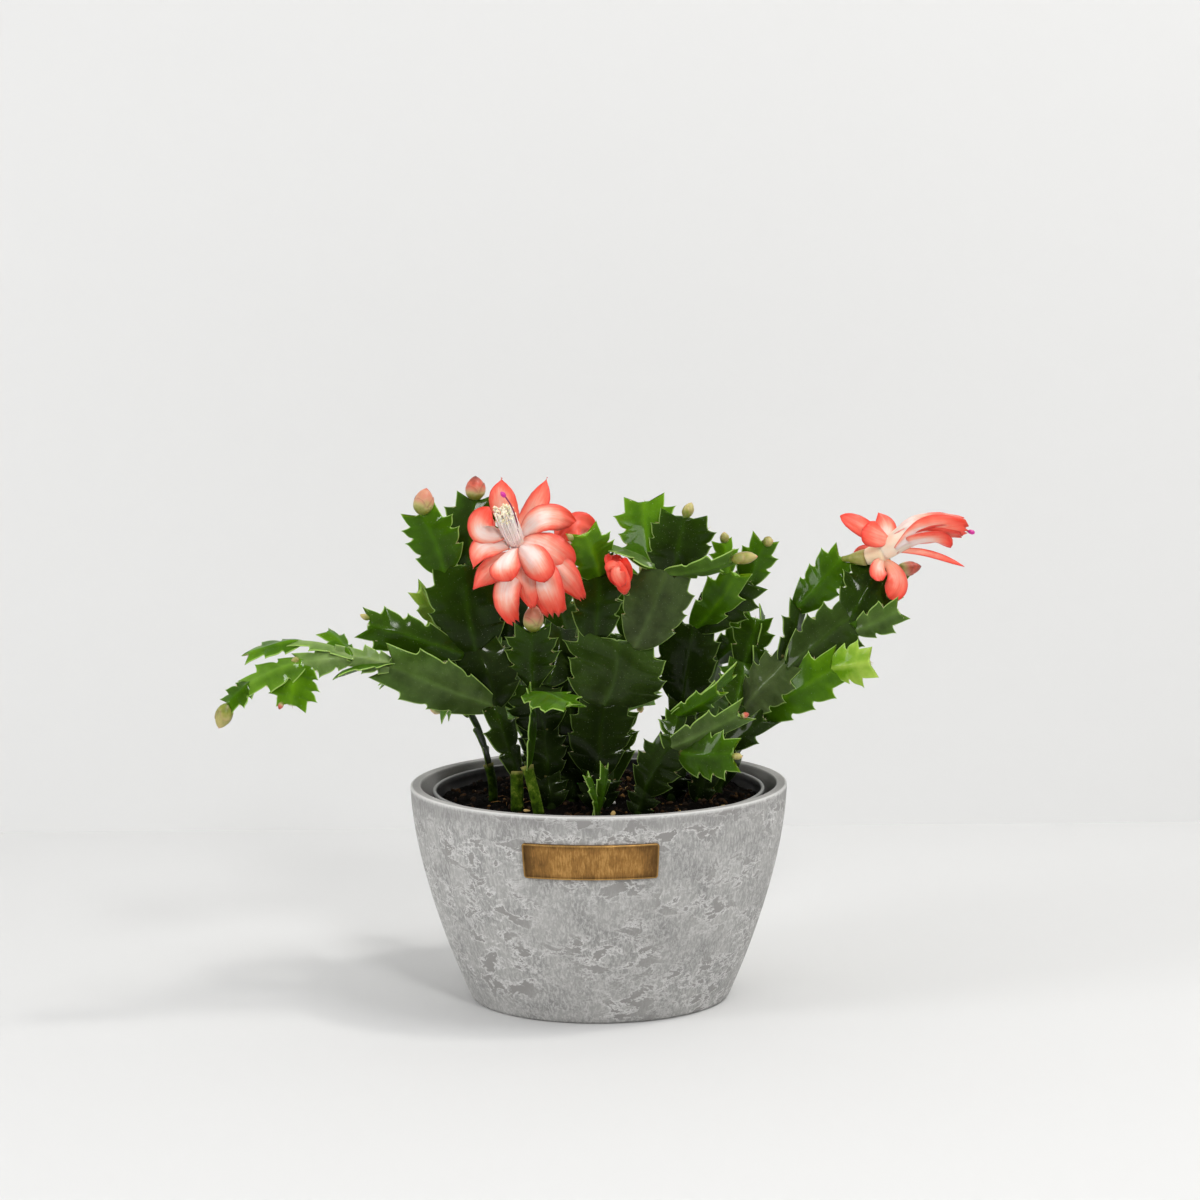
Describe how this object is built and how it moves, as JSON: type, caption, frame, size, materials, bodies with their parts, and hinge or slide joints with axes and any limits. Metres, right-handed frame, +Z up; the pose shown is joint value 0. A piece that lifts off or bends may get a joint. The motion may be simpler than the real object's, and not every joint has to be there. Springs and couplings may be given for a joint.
{
  "type": "potted christmas cactus",
  "caption": "Christmas cactus in flower: toothed flat stem segments arch out of soil in a thin grow pot, which stands in a round grey faux-stone pot with a bare brass plate.",
  "frame": {"origin": "centre of the outer pot's flat base, on the surface that it stands on", "axes": "+Z up the pot's axis, -Y towards the front with the plate, +X to the right"},
  "size_m": [0.3494, 0.2025, 0.2493],
  "materials": {
    "faux_stone": "mottled grey faux stone, stone-filled plastic, matt",
    "antique_brass": "antique brass, brushed upright, darker at its edges",
    "nursery_plastic": "thin black plastic, soft gloss",
    "potting_mix": "dark bark and coir mix with white perlite",
    "leaf_flesh": "dark glossy green flesh with lighter edges",
    "petal": "coral petals, paling to white-pink at the root",
    "stamen": "cream filaments and anthers",
    "stigma": "magenta style and stigma",
    "ovary": "yellow-green, smooth",
    "bud": "peach-pink buds, greener at the base"
  },
  "bodies": {
    "root": {"outer_pot": "faux_stone", "nameplate": "antique_brass", "grow_pot": "nursery_plastic", "soil": "potting_mix", "left_stem": "leaf_flesh", "left_back_stem": "leaf_flesh", "front_left_stem": "leaf_flesh", "middle_left_stem": "leaf_flesh", "centre_stem": "leaf_flesh", "front_shoots": "leaf_flesh", "centre_right_stem": "leaf_flesh", "right_stem": "leaf_flesh", "low_right_stem": "leaf_flesh", "shaded_stem": "leaf_flesh", "middle_back_stem": "leaf_flesh", "back_left_stem": "leaf_flesh", "back_centre_stem": "leaf_flesh", "back_right_stem": "leaf_flesh", "right_back_stem": "leaf_flesh", "far_back_stem": "leaf_flesh", "left_bloom_petals": "petal", "left_bloom_stamens": "stamen", "left_bloom_style": "stigma", "right_bloom_petals": "petal", "right_bloom_ovary": "ovary", "right_bloom_style": "stigma", "opening_bud": "petal", "bud_upper_left": "bud", "bud_top": "bud", "bud_arm": "bud", "bud_middle": "bud", "bud_olive": "bud", "bud_cream": "bud", "bud_tan": "bud", "bud_right": "bud", "bud_back": "bud", "bud_back_left": "bud", "bud_back_right": "bud"}
  },
  "joints": []
}
